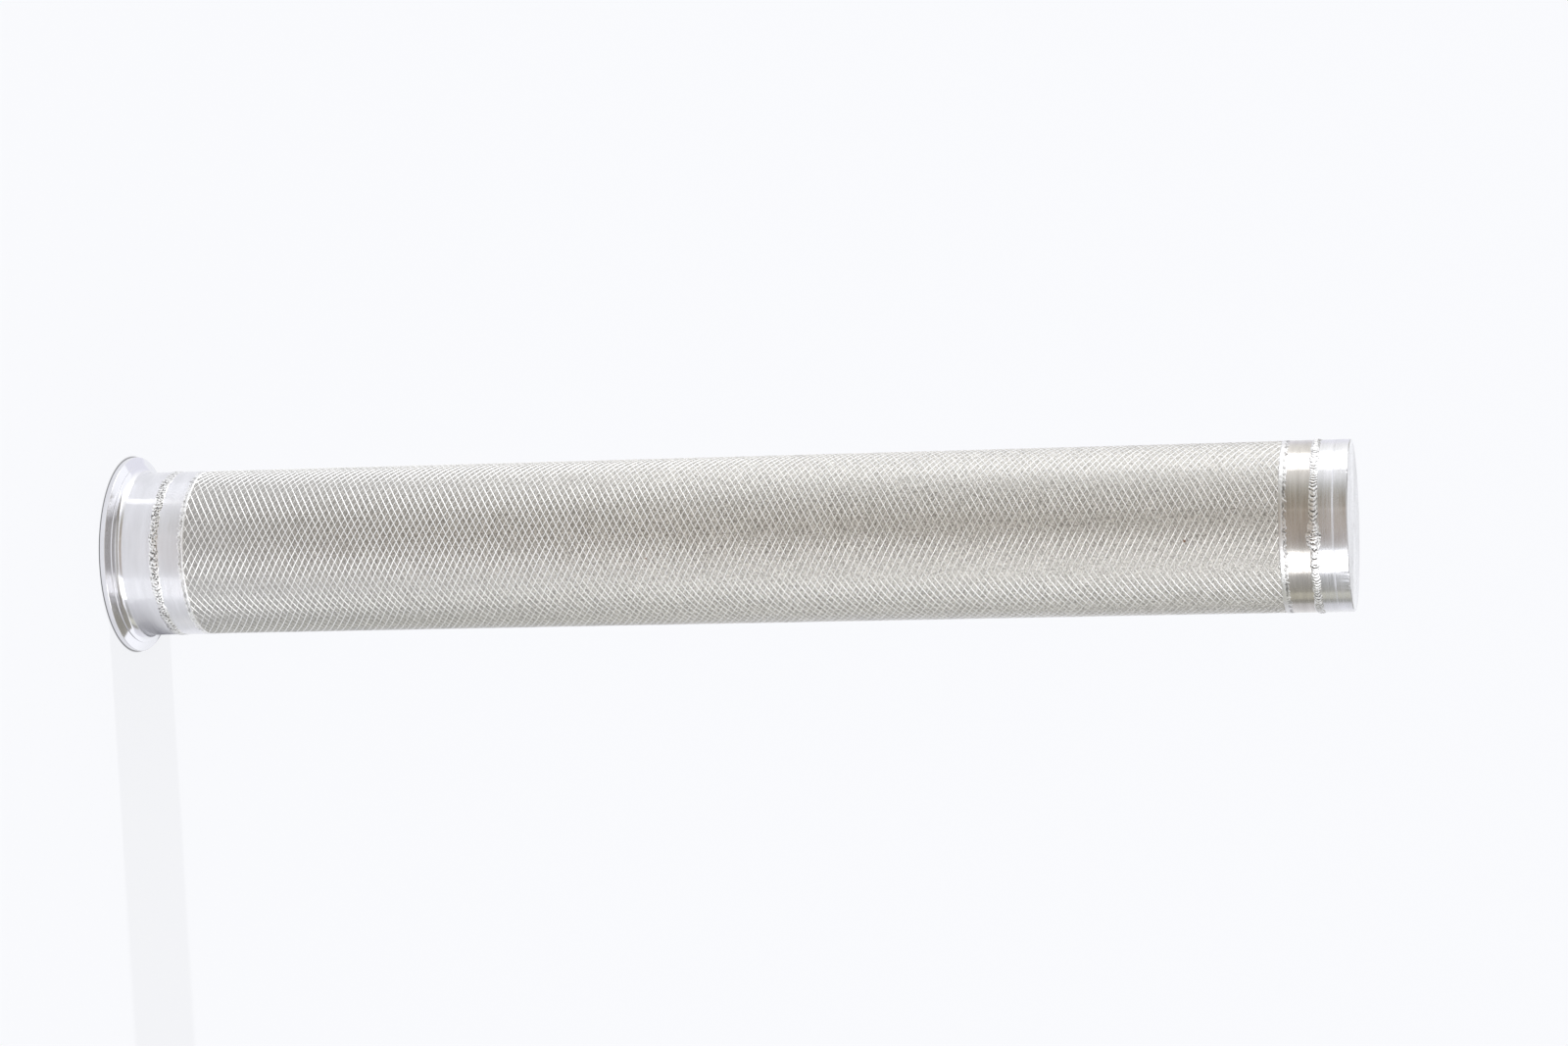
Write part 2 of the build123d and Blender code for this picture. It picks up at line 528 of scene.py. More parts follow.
# Tube rings next to the filter wall, a little wavy from rolling

RING_WALL = 2.2 * MM
RING_SEGMENTS = 256
RING_STEPS = 6
RING_WAVE = 0.02 * MM
RING_SEED = 17


def tube_ring(name, node, metal):
    low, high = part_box(node)
    inner_r = TUBE_R - RING_WALL
    length = high.z - low.z
    profile = [(inner_r, low.z)]
    profile += [(TUBE_R, low.z + length * step / RING_STEPS) for step in range(RING_STEPS + 1)]
    profile += [(inner_r, high.z)]
    radius, height = section(profile, RING_SEGMENTS)
    waves = wobble(RING_SEED, RING_SEGMENTS, 12, RING_STEPS - 1)
    radius[:, 2:RING_STEPS + 1] -= RING_WAVE * (1 + waves)
    piece = ring_piece(name, radius, height, metal)
    put(piece, "rolled_steel", node)


tube_ring("ring_below_filter", "lower_ring", rolled)
tube_ring("ring_above_filter", "upper_ring", brushed)


# End cap, with a turned line round its side and nicks along the edge of its end

CAP_WALL = 2.2 * MM
CAP_END = 5 * MM
CAP_ROUNDING = 0.5 * MM
CAP_INNER_ROUNDING = 0.8 * MM
CAP_EDGE_BAND = 0.7 * MM
CAP_DISH_R = 24 * MM
CAP_DISH = 0.02 * MM
CAP_MIDDLE_R = 8 * MM
CENTRE_MARK_R = 0.8 * MM
CENTRE_MARK_DEPTH = 0.6 * MM
AXIS_GAP = 0.05 * MM
CAP_SEGMENTS = 512

# The line is a shallow groove with a long flank that faces up, between two plain margins
LINE_HEIGHT = 562.2 * MM
LINE_FOOT = LINE_HEIGHT - 0.6 * MM
LINE_DEEPEST = LINE_HEIGHT + 0.3 * MM
LINE_TOP = LINE_HEIGHT + 0.4 * MM
LINE_DEPTH = 0.2 * MM
LINE_MARGINS = 0.05 * MM, 0.1 * MM

# Azimuths and sizes of the nicks
NICKS = [(-57, 1.5), (-54, 0.8), (-51, 1.1), (-47, 1.6), (-44, 0.7), (-128, 0.9), (20, 1.2)]
NICK_DEPTH = 0.14 * MM
NICK_REACH = 0.35 * MM


def make_cap():
    profile = rounded([
        (TUBE_R - CAP_WALL, CAP_BASE, 0),
        (TUBE_R, CAP_BASE, 0),
        (TUBE_R, LINE_FOOT - LINE_MARGINS[0], 0),
        (TUBE_R, LINE_FOOT, 0),
        (TUBE_R - LINE_DEPTH, LINE_DEEPEST, 0),
        (TUBE_R, LINE_TOP, 0),
        (TUBE_R, LINE_TOP + LINE_MARGINS[1], 0),
        (TUBE_R, CAP_TOP - CAP_EDGE_BAND, 0),
        (TUBE_R, CAP_TOP, CAP_ROUNDING),
        (CAP_DISH_R, CAP_TOP - CAP_DISH, 0),
        (CAP_MIDDLE_R, CAP_TOP, 0),
        (CENTRE_MARK_R, CAP_TOP, 0),
        (AXIS_GAP, CAP_TOP - CENTRE_MARK_DEPTH, 0),
        (AXIS_GAP, CAP_TOP - CAP_END, 0),
        (TUBE_R - CAP_WALL, CAP_TOP - CAP_END, CAP_INNER_ROUNDING),
    ])
    radius, height = section(profile, CAP_SEGMENTS)

    # The points of the rounded edge, which the nicks press in
    edge = range(8, 14)
    for azimuth, size in NICKS:
        turn = (azimuths(CAP_SEGMENTS) - radians(azimuth) + pi) % (2 * pi) - pi
        depth = NICK_DEPTH * size * np.exp(-((turn * TUBE_R) / (NICK_REACH * size)) ** 2)
        radius[:, edge] -= depth[:, None]
        height[:, edge] -= depth[:, None] * 0.6
    piece = ring_piece("cap", radius, height, turned)
    put(piece, "turned_steel", "end_cap")


make_cap()


# Butt welds: beads of overlapping crescents, one for every pulse of the arc

BEAD_SEGMENTS = 1080
BEAD_POINTS = 17
BEAD_WANDER = 0.16 * MM
BEAD_TOE = 0.1 * MM
BEAD_BACK = 0.3 * MM
BLOB_REACH = 5.0 * MM
BLOB_WIDENING = 0.65
LUMP_REACH = 4.4 * MM
LUMP_RISE = 0.75 * MM
CRATER_RIPPLE = 1.7 * MM
CRATER_RIPPLE_DEPTH = 0.3 * MM
BEAD_LOWEST = -0.15 * MM
BEAD_HIGHEST = 0.95 * MM


def weld_bead(name, joint_height, width, crown, ripples, bow, clean, seed):
    """A bead round the tube. ripples is how many it has, and bow is how far their ends lag, as
    a share of a ripple. clean is 1 for a bead of even, deep ripples and lower for a flatter,
    more gritty one."""
    segments, points = BEAD_SEGMENTS, BEAD_POINTS
    across = np.linspace(-1, 1, points)
    azimuth = azimuths(segments)[:, None]
    middle = joint_height + BEAD_WANDER * wobble(seed, segments, 30)[:, None]
    half = width / 2 * (1 + 0.09 * wobble(seed + 1, segments, 60)[:, None])
    blob = distance_from(azimuth, middle, BLOB_AZIMUTH, CAP_BASE)
    half = half * (1 + BLOB_WIDENING * np.exp(-((blob / BLOB_REACH) ** 4)))
    height = middle + half * across
    rise = 1 - across ** 2

    # Ripples, each a crescent with a line of painted shade at its foot
    pace = ripples * azimuth / (2 * pi) + 0.4 * wobble(seed + 2, segments, 20)[:, None]
    share = (pace + bow * across ** 2 + 0.08 * wobble(seed + 3, segments, 60, points)) % 1
    dome = 1 - np.abs(2 * share - 1) ** 2.5
    strength = clean * np.clip(0.9 + 0.4 * wobble(seed + 4, segments, 80)[:, None], 0.2, 1.4)
    foot = np.exp(-((np.minimum(share, 1 - share) / 0.16) ** 2))

    # Where the arc was stopped, crescents lie inside each other on a lump of metal
    from_stop = distance_from(azimuth, height, BLOB_AZIMUTH, CAP_BASE)
    lump = np.exp(-((from_stop / LUMP_REACH) ** 4))
    crater = distance_from(azimuth, height, BLOB_AZIMUTH + 6, CAP_BASE - 0.5 * MM)
    swirl = (crater / CRATER_RIPPLE + 0.35 * wobble(seed + 7, segments, 90, points)) % 1
    swirl_foot = np.exp(-((np.minimum(swirl, 1 - swirl) / 0.18) ** 2))

    # Crest heights, and the share of hollow that darkens feet, pits and grit with painted shade
    grit = np.repeat(wobble(seed + 5, segments, 210, (points + 1) // 2), 2, 1)[:, :points]
    bead = crown * rise * (1 - 0.42 * strength * (1 - dome)) * (1 - lump)
    bead += lump * rise * (LUMP_RISE - CRATER_RIPPLE_DEPTH * swirl_foot)
    bead += (0.12 - 0.09 * clean) * MM * grit * rise
    hollow = strength * foot * (1 - lump) + lump * swirl_foot
    hollow = rise ** 0.3 * hollow + rise ** 0.3 * (0.75 - 0.55 * clean) * np.clip(-grit, 0, 2)

    radius = TUBE_R + np.clip(bead, BEAD_LOWEST, BEAD_HIGHEST)
    radius[:, [0, -1]] = TUBE_R - BEAD_TOE
    back = np.full((segments, 1), TUBE_R - BEAD_BACK)
    radius = np.hstack([radius, back, back])
    height = np.hstack([height, height[:, -1:], height[:, :1]])
    piece = ring_piece(name, radius, height, weld_metal, 180)
    add_hollow(piece, hollow)
    put(piece, "weld_steel", "butt_welds")


weld_bead(
    "weld_at_ferrule",
    FERRULE_TOP,
    width=4.6 * MM,
    crown=0.24 * MM,
    ripples=120,
    bow=0.5,
    clean=0.4,
    seed=11,
)
weld_bead(
    "weld_at_cap",
    CAP_BASE,
    width=3.9 * MM,
    crown=0.6 * MM,
    ripples=140,
    bow=0.9,
    clean=1.0,
    seed=31,
)


# Edge welds: a smooth ridge over the ends of the strands, and a ragged, pitted rim beside it

EDGE_WELD_SEGMENTS = 900
EDGE_WELD_POINTS = 13
EDGE_WELD_LAP = 1.2 * MM
EDGE_WELD_TOE = 0.12 * MM
EDGE_WELD_BACK = 0.35 * MM
EDGE_WELD_WANDER = 0.06 * MM
FUSED_RIM_RAGGED = 0.35 * MM
FUSED_RIM_RISE = 0.05 * MM
FUSED_RIM_PITTED = 0.025 * MM
EDGE_WELD_LOWEST = -0.2 * MM
EDGE_WELD_HIGHEST = 0.42 * MM


def edge_weld(name, joint_height, up, ridge_width, ridge_rise, width, dull, seed):
    """A fused line that laps over the filter wall's end and runs to its rim on the ring. up is
    1 where the filter wall is above the weld, and -1 where it is below. dull is the ridge's
    share of hollow."""
    segments, points = EDGE_WELD_SEGMENTS, EDGE_WELD_POINTS
    share = np.linspace(0, 1, points)
    start = EDGE_WELD_LAP + EDGE_WELD_WANDER * wobble(seed + 1, segments, 60)[:, None]
    reach = width + FUSED_RIM_RAGGED * wobble(seed, segments, 140)[:, None]
    offset = start - reach * share
    edge = ridge_width / width
    ridge = ridge_rise * np.clip(1 - (2 * share / edge - 1) ** 2, 0, 1)
    rim = np.clip((share - edge * 0.9) / 0.1, 0, 1) * np.clip((1 - share) / 0.3, 0, 1)
    pits = wobble(seed + 2, segments, 220, points) + 0.8 * wobble(seed + 3, segments, 70)[:, None]
    bead = ridge * (1 + 0.12 * wobble(seed + 4, segments, 120)[:, None])
    bead = bead + rim * (FUSED_RIM_RISE + FUSED_RIM_PITTED * pits)
    # The rim's pits are darkened with painted shade
    hollow = dull + rim * (0.25 - 0.2 * pits)
    radius = TUBE_R + np.clip(bead, EDGE_WELD_LOWEST, EDGE_WELD_HIGHEST)
    radius[:, [0, -1]] = TUBE_R - EDGE_WELD_TOE
    back = np.full((segments, 1), TUBE_R - EDGE_WELD_BACK)
    radius = np.hstack([radius, back, back])
    offset = np.hstack([offset, offset[:, -1:], offset[:, :1]])
    height = joint_height + up * offset

    # Where the filter wall is above, the section is run the other way to stay anticlockwise
    if up > 0:
        order = list(range(points - 1, -1, -1)) + [points + 1, points]
        radius, height, hollow = radius[:, order], height[:, order], hollow[:, ::-1]
    piece = ring_piece(name, radius, height, weld_metal, 180)
    add_hollow(piece, hollow)
    put(piece, "weld_steel", "edge_welds")


edge_weld(
    "weld_below_filter",
    FILTER_BASE,
    up=1,
    ridge_width=0.9 * MM,
    ridge_rise=0.24 * MM,
    width=2.7 * MM,
    dull=0.0,
    seed=51,
)
edge_weld(
    "weld_above_filter",
    FILTER_TOP,
    up=-1,
    ridge_width=1.9 * MM,
    ridge_rise=0.11 * MM,
    width=3.5 * MM,
    dull=0.25,
    seed=71,
)


# Seam weld along the guard and the felt, on the far side

SEAM_ROWS = 960
SEAM_POINTS = 9
SEAM_HALF_WIDTH = 0.8 * MM
SEAM_WANDER = 0.15 * MM
SEAM_RIPPLE = 1.9 * MM
SEAM_RISE = 0.22 * MM
SEAM_TOE = 0.15 * MM


def seam_weld():
    """A closed bar whose outer face is the bead and whose back is the felt's inner face."""
    rows, around = SEAM_ROWS, SEAM_POINTS + 2
    across = np.linspace(-1, 1, SEAM_POINTS)
    height = np.linspace(FILTER_BASE, FILTER_TOP, rows)[:, None]
    middle = SEAM_WANDER * wobble(91, rows, 60)[:, None]
    half = SEAM_HALF_WIDTH * (1 + 0.1 * wobble(92, rows, 200)[:, None])
    azimuth = radians(SEAM_AZIMUTH) + (middle + half * across) / TUBE_R
    share = ((height - FILTER_BASE) / SEAM_RIPPLE + 0.6 * across ** 2) % 1
    dome = 1 - np.abs(2 * share - 1) ** 2.5
    rise = np.clip(1 - across ** 2, 0, 1) ** 0.5
    radius = TUBE_R + SEAM_RISE * rise * (0.5 + 0.5 * dome)
    radius[:, [0, -1]] = TUBE_R - SEAM_TOE
    # Painted shade in the hollows between the ripples
    hollow = (1 - dome) * rise ** 0.5
    radius = np.hstack([radius, np.full((rows, 2), FELT_R - FELT_THICKNESS)])
    azimuth = np.hstack([azimuth, azimuth[:, -1:], azimuth[:, :1]])
    height = np.repeat(height, around, 1)
    vertices = np.stack([radius * np.cos(azimuth), radius * np.sin(azimuth), height], -1)
    here = np.arange(rows * around).reshape(rows, around)
    right = np.roll(here, -1, 1)
    faces = np.stack([here[:-1], right[:-1], right[1:], here[1:]], -1).reshape(-1, 4)
    faces = [tuple(face) for face in faces] + [tuple(here[0][::-1]), tuple(here[-1])]
    piece = mesh_object("seam_weld", vertices.reshape(-1, 3), faces, weld_metal, 60)
    add_hollow(piece, hollow)
    put(piece, "weld_steel", "sleeve_seam_weld")


seam_weld()


# Support core and its seam weld, which keep the frame's own shapes

for node, metal in (("support_core", punched), ("core_seam_weld", weld_metal)):
    for material_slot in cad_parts[node].material_slots:
        material_slot.material = metal


# Expanded metal guard: zigzag strands that run round the tube and meet at the diamonds' ends

DIAMONDS_ROUND = 42
DIAMOND_HEIGHT = 3.12 * MM
STRAND_WIDTH = 0.45 * MM
STRAND_DEPTH = 0.112 * MM
STRAND_WANDER = 0.12 * MM
WANDERS_PER_METRE = 90.0
STRAND_INSET = 0.03 * MM
GUARD_MARGIN = 0.4 * MM

# A strand's section is a triangle in a circle of radius 1, this deep and this wide
TRIANGLE_DEPTH = 1.5
TRIANGLE_WIDTH = 1.732


def guard_tree():
    """Geometry nodes of the guard. One strand is a circle whose points step up and down, and
    every next strand stands half a diamond higher, turned by half a diamond."""
    tree = bpy.data.node_groups.new("expanded_metal", "GeometryNodeTree")
    strands_up = round((FILTER_TOP - FILTER_BASE) / DIAMOND_HEIGHT * 2) - 1
    sizes = {
        "Diamonds round": ("NodeSocketInt", DIAMONDS_ROUND),
        "Strands": ("NodeSocketInt", strands_up),
        "Diamond height": ("NodeSocketFloat", DIAMOND_HEIGHT),
        "Strand width": ("NodeSocketFloat", STRAND_WIDTH),
        "Strand depth": ("NodeSocketFloat", STRAND_DEPTH),
        "Radius": ("NodeSocketFloat", TUBE_R - STRAND_DEPTH / TRIANGLE_DEPTH - STRAND_INSET),
        "Base": ("NodeSocketFloat", FILTER_BASE + GUARD_MARGIN),
        "Wander": ("NodeSocketFloat", STRAND_WANDER),
        "Material": ("NodeSocketMaterial", strand_steel),
    }
    for label, (kind, value) in sizes.items():
        tree.interface.new_socket(label, in_out="INPUT", socket_type=kind).default_value = value
    tree.interface.new_socket("Geometry", in_out="OUTPUT", socket_type="NodeSocketGeometry")
    size = add_node(tree, "NodeGroupInput").outputs

    index = add_node(tree, "GeometryNodeInputIndex").outputs[0]
    odd = add_node(
        tree, "ShaderNodeMath", {"operation": "MODULO"}, in_0=index, in_1=2.0
    ).outputs[0]
    half_height = add_node(
        tree, "ShaderNodeMath", {"operation": "DIVIDE"}, in_0=size["Diamond height"], in_1=2.0
    ).outputs[0]
    half_turn = add_node(
        tree, "ShaderNodeMath", {"operation": "DIVIDE"}, in_0=pi, in_1=size["Diamonds round"]
    ).outputs[0]

    # One strand: every other point of its circle is half a diamond higher
    points_round = add_node(
        tree, "ShaderNodeMath", {"operation": "MULTIPLY"}, in_0=size["Diamonds round"], in_1=2.0
    )
    circle = add_node(
        tree,
        "GeometryNodeCurvePrimitiveCircle",
        {"mode": "RADIUS"},
        Resolution=points_round.outputs[0],
        Radius=size["Radius"],
    )
    step = add_node(
        tree, "ShaderNodeMath", {"operation": "MULTIPLY"}, in_0=odd, in_1=half_height
    )
    step_up = add_node(tree, "ShaderNodeCombineXYZ", Z=step.outputs[0])
    strand = add_node(
        tree,
        "GeometryNodeSetPosition",
        Geometry=circle.outputs["Curve"],
        Offset=step_up.outputs[0],
    )

    # All the strands, one on each point of an upright line
    base = add_node(tree, "ShaderNodeCombineXYZ", Z=size["Base"])
    rise = add_node(tree, "ShaderNodeCombineXYZ", Z=half_height)
    feet = add_node(
        tree,
        "GeometryNodeMeshLine",
        Count=size["Strands"],
        Start_Location=base.outputs[0],
        Offset=rise.outputs[0],
    )
    turn = add_node(tree, "ShaderNodeMath", {"operation": "MULTIPLY"}, in_0=odd, in_1=half_turn)
    turn_round = add_node(tree, "ShaderNodeCombineXYZ", Z=turn.outputs[0])
    strands = add_node(
        tree,
        "GeometryNodeInstanceOnPoints",
        Points=feet.outputs["Mesh"],
        Instance=strand.outputs["Geometry"],
        Rotation=turn_round.outputs[0],
    )
    lines = add_node(tree, "GeometryNodeRealizeInstances", Geometry=strands.outputs["Instances"])

    # Strands of real sheet wander a little. The noise keeps near its middle, so it is tripled.
    noise = add_node(
        tree,
        "ShaderNodeTexNoise",
        {"noise_dimensions": "3D"},
        Scale=WANDERS_PER_METRE,
        Detail=3.0,
        Roughness=0.7,
    )
    centred = add_node(
        tree,
        "ShaderNodeVectorMath",
        {"operation": "SUBTRACT"},
        in_0=noise.outputs["Color"],
        in_1=(0.5, 0.5, 0.5),
    )
    reach = add_node(
        tree, "ShaderNodeMath", {"operation": "MULTIPLY"}, in_0=size["Wander"], in_1=3.0
    )
    wander = add_node(
        tree,
        "ShaderNodeVectorMath",
        {"operation": "SCALE"},
        in_0=centred.outputs[0],
        Scale=reach.outputs[0],
    )
    moved = add_node(
        tree,
        "GeometryNodeSetPosition",
        Geometry=lines.outputs["Geometry"],
        Offset=wander.outputs[0],
    )

    # A strand's section, a low ridge with its flat side on the felt
    upright = add_node(
        tree, "GeometryNodeSetCurveNormal", {"mode": "Z_UP"}, Curve=moved.outputs["Geometry"]
    )
    outline = add_node(
        tree, "GeometryNodeCurvePrimitiveCircle", {"mode": "RADIUS"}, Resolution=3, Radius=1.0
    )
    deep = add_node(
        tree,
        "ShaderNodeMath",
        {"operation": "DIVIDE"},
        in_0=size["Strand depth"],
        in_1=TRIANGLE_DEPTH,
    )
    wide = add_node(
        tree,
        "ShaderNodeMath",
        {"operation": "DIVIDE"},
        in_0=size["Strand width"],
        in_1=TRIANGLE_WIDTH,
    )
    scale = add_node(
        tree, "ShaderNodeCombineXYZ", X=deep.outputs[0], Y=wide.outputs[0], Z=1.0
    )
    flattened = add_node(
        tree,
        "GeometryNodeTransform",
        Geometry=outline.outputs["Curve"],
        Scale=scale.outputs[0],
    )
    metal = add_node(
        tree,
        "GeometryNodeCurveToMesh",
        Curve=upright.outputs["Curve"],
        Profile_Curve=flattened.outputs["Geometry"],
    )
    coloured = add_node(
        tree,
        "GeometryNodeSetMaterial",
        Geometry=metal.outputs["Mesh"],
        Material=size["Material"],
    )
    add_node(tree, "NodeGroupOutput", Geometry=coloured.outputs["Geometry"])
    return tree


def plain_mesh_from(tree, name):
    """Runs a tree of geometry nodes and keeps its result as a plain mesh object."""
    holder = bpy.data.objects.new(name + "_holder", bpy.data.meshes.new(name + "_holder"))
    bpy.context.scene.collection.objects.link(holder)
    modifier = holder.modifiers.new("nodes", "NODES")
    modifier.node_group = tree
    evaluated = holder.evaluated_get(bpy.context.evaluated_depsgraph_get())
    mesh = bpy.data.meshes.new_from_object(evaluated)
    mesh.shade_flat()
    holder.modifiers.remove(modifier)
    bpy.data.objects.remove(holder)
    mesh.name = name
    piece = bpy.data.objects.new(name, mesh)
    bpy.context.scene.collection.objects.link(piece)
    return piece


guard = plain_mesh_from(guard_tree(), "expanded_metal")
put(guard, "expanded_steel", "expanded_guard")


# Fibre felt, sintered to the guard so that it stands nearly up to the strands' ridges

FELT_INSET = 0.06 * MM
FELT_SEGMENTS = 256


def make_felt():
    face_r = TUBE_R - STRAND_DEPTH - FELT_INSET
    inner_r = FELT_R - FELT_THICKNESS
    profile = [
        (inner_r, FILTER_BASE),
        (face_r, FILTER_BASE),
        (face_r, FILTER_TOP),
        (inner_r, FILTER_TOP),
    ]
    piece = ring_piece("felt", *section(profile, FELT_SEGMENTS), felt_metal)
    put(piece, "steel_felt", "fibre_felt")


make_felt()


# Camera

# Fitted to the tube's outlines in the photograph. The focal length is in the photograph's
# pixels, and the sensor in millimetres.
CAMERA_PLACE = Vector((0, -1.77121, 0.68912))
CAMERA_PITCH = radians(12.0172)
CAMERA_YAW = radians(-0.2312)
CAMERA_ROLL = radians(1.41037)
FOCAL_PIXELS = 4069.88
PHOTO_WIDTH = 1600
SENSOR = 36
NEAREST_SEEN = 0.05
FARTHEST_SEEN = 500


def add_camera():
    """The photograph's camera, turned a quarter so that the tube's top is at the right."""
    forward = Vector((
        sin(CAMERA_YAW) * cos(CAMERA_PITCH),
        cos(CAMERA_YAW) * cos(CAMERA_PITCH),
        -sin(CAMERA_PITCH),
    ))
    side = forward.cross(Vector((0, 0, 1))).normalized()
    above = side.cross(forward)
    picture_right = cos(CAMERA_ROLL) * above + sin(CAMERA_ROLL) * side
    picture_up = sin(CAMERA_ROLL) * above - cos(CAMERA_ROLL) * side
    data = bpy.data.cameras.new("camera")
    data.sensor_width = SENSOR
    data.lens = FOCAL_PIXELS * SENSOR / PHOTO_WIDTH
    data.clip_start = NEAREST_SEEN
    data.clip_end = FARTHEST_SEEN
    camera = bpy.data.objects.new("camera", data)
    bpy.context.scene.collection.objects.link(camera)
    turn = Matrix((picture_right, picture_up, -forward)).transposed()
    camera.matrix_world = Matrix.Translation(CAMERA_PLACE) @ turn.to_4x4()
    bpy.context.scene.camera = camera


add_camera()


# Studio. Azimuths here are counted from the camera's side, positive to the photograph's bottom.

PAPER = "#FBFCFF"
PAPER_GLOW = 0.955
PAPER_GLOW_SHARE = 0.85
PAPER_HALF = 200
BACKDROP_GLOW = 0.988
SKY_GLOW = 1.25


def azimuth_vector(azimuth):
    """A level direction of length 1 at an azimuth in degrees."""
    return Vector((sin(radians(azimuth)), -cos(radians(azimuth)), 0))


def seen_directly(tree):
    """1 for what the camera sees, and for what metal or glass shows of it, and else 0."""
    rays = add_node(tree, "ShaderNodeLightPath").outputs
    shown = add_node(
        tree,
        "ShaderNodeMath",
        {"operation": "ADD"},
        in_0=rays["Is Glossy Ray"],
        in_1=rays["Is Transmission Ray"],
    ).outputs[0]
    seen = add_node(
        tree, "ShaderNodeMath", {"operation": "ADD"}, in_0=shown, in_1=rays["Is Camera Ray"]
    ).outputs[0]
    return add_node(
        tree, "ShaderNodeMath", {"operation": "MINIMUM"}, in_0=seen, in_1=1.0
    ).outputs[0]


def add_floor():
    """White paper. Most of its white is its own glow, which stops short of the rim and so paints a
    shaded line where the rim stands on it, and the rest keeps the object's shadow."""
    material = bpy.data.materials.new("white_paper")
    material.use_nodes = True
    tree = material.node_tree
    tree.nodes.clear()
    matt = add_node(tree, "ShaderNodeBsdfDiffuse", Color=linear("#F6F6F8"))
    place = add_node(tree, "ShaderNodeTexCoord").outputs["Object"]
    out = add_node(
        tree, "ShaderNodeVectorMath", {"operation": "LENGTH"}, in_0=place
    ).outputs["Value"]
    # The glow fades out at the rim: a painted contact shadow
    clear_of_painted_contact_shadow = add_node(
        tree, "ShaderNodeMapRange", in_0=out, From_Min=RIM_R - 0.2 * MM, From_Max=RIM_R + 0.8 * MM
    ).outputs[0]
    glow = add_node(
        tree, "ShaderNodeMath", {"operation": "MULTIPLY"}, in_0=clear_of_painted_contact_shadow, in_1=PAPER_GLOW
    ).outputs[0]
    white = add_node(tree, "ShaderNodeEmission", Color=linear(PAPER), Strength=glow)
    share = add_node(
        tree,
        "ShaderNodeMath",
        {"operation": "MULTIPLY"},
        in_0=seen_directly(tree),
        in_1=PAPER_GLOW_SHARE,
    ).outputs[0]
    both = add_node(
        tree, "ShaderNodeMixShader", Fac=share, in_1=matt.outputs[0], in_2=white.outputs[0]
    )
    add_node(tree, "ShaderNodeOutputMaterial", Surface=both.outputs[0])
    half = PAPER_HALF
    corners = [(-half, -half, 0), (half, -half, 0), (half, half, 0), (-half, half, 0)]
    mesh_object("floor", corners, [(0, 1, 2, 3)], material)


# Lamps face this point of the tube's axis
LAMP_AIM = Vector((0, 0, 0.3))


def add_lamp(name, azimuth, distance, low, high, width, power):
    """A soft box that stands at an azimuth and faces the tube. low and high are the heights of
    its edges, and power is in watts. The paper doesn't show it."""
    data = bpy.data.lights.new(name, "AREA")
    data.shape = "RECTANGLE"
    data.size = width
    data.size_y = high - low
    data.energy = power
    lamp = bpy.data.objects.new(name, data)
    bpy.context.scene.collection.objects.link(lamp)
    place = azimuth_vector(azimuth) * distance
    place.z = (low + high) / 2
    lamp.location = place
    lamp.rotation_euler = (place - LAMP_AIM).to_track_quat("Z", "Y").to_euler()
    lamp.visible_camera = False
    lamp.visible_diffuse = False


def add_sun(azimuth, elevation, strength):
    """A small hard light far off, which casts the tube's long shadow."""
    data = bpy.data.lights.new("hard_light", "SUN")
    data.angle = radians(1.5)
    data.energy = strength
    lamp = bpy.data.objects.new("hard_light", data)
    bpy.context.scene.collection.objects.link(lamp)
    source = azimuth_vector(azimuth) * cos(radians(elevation))
    source.z = sin(radians(elevation))
    lamp.rotation_euler = source.to_track_quat("Z", "Y").to_euler()
    lamp.visible_glossy = False


def hang_card(name, corners, faces, strength):
    """A glowing card that only the metal's shine shows. Gives back its nodes and the socket
    of its colour, which is white."""
    material = bpy.data.materials.new(name)
    material.use_nodes = True
    tree = material.node_tree
    tree.nodes.clear()
    glow = add_node(tree, "ShaderNodeEmission", Strength=strength)
    add_node(tree, "ShaderNodeOutputMaterial", Surface=glow.outputs[0])
    card = mesh_object(name, corners, faces, material)
    card.visible_camera = False
    card.visible_diffuse = False
    card.visible_shadow = False
    card.visible_transmission = False
    return tree, glow.inputs["Color"]


CARD_STEPS = 48


def add_card(name, bands, strength=1.2, profile=((0.15, 0.002), (1.2, 0.003), (1.2, 0.7))):
    """A long grey card, curved round the tube. bands is a list of azimuths and the colours
    that it has there, and profile is the radii and heights from its near edge to its top."""
    steps = CARD_STEPS
    points = len(profile)
    start = bands[0][0]
    arc = bands[-1][0] - start
    corners = []
    for step in range(steps + 1):
        azimuth = radians(start + arc * step / steps)
        for radius, height in profile:
            corners.append((radius * sin(azimuth), -radius * cos(azimuth), height))
    faces = []
    for step in range(steps):
        for corner in range(step * points, step * points + points - 1):
            faces.append((corner, corner + points, corner + points + 1, corner + 1))
    tree, socket = hang_card(name, corners, faces, strength)
    place = add_node(tree, "ShaderNodeTexCoord").outputs["Object"]
    parts = add_node(tree, "ShaderNodeSeparateXYZ", Vector=place).outputs
    towards = add_node(
        tree, "ShaderNodeMath", {"operation": "MULTIPLY"}, in_0=parts["Y"], in_1=-1.0
    ).outputs[0]
    azimuth = add_node(
        tree, "ShaderNodeMath", {"operation": "ARCTAN2"}, in_0=parts["X"], in_1=towards
    ).outputs[0]
    share = add_node(
        tree,
        "ShaderNodeMapRange",
        in_0=azimuth,
        From_Min=radians(start),
        From_Max=radians(start + arc),
    ).outputs[0]
    stops = [((turn - start) / arc, shade) for turn, shade in bands]
    colour = add_node(tree, "ShaderNodeValToRGB", {"stops": stops}, Fac=share)
    tree.links.new(colour.outputs["Color"], socket)


add_floor()

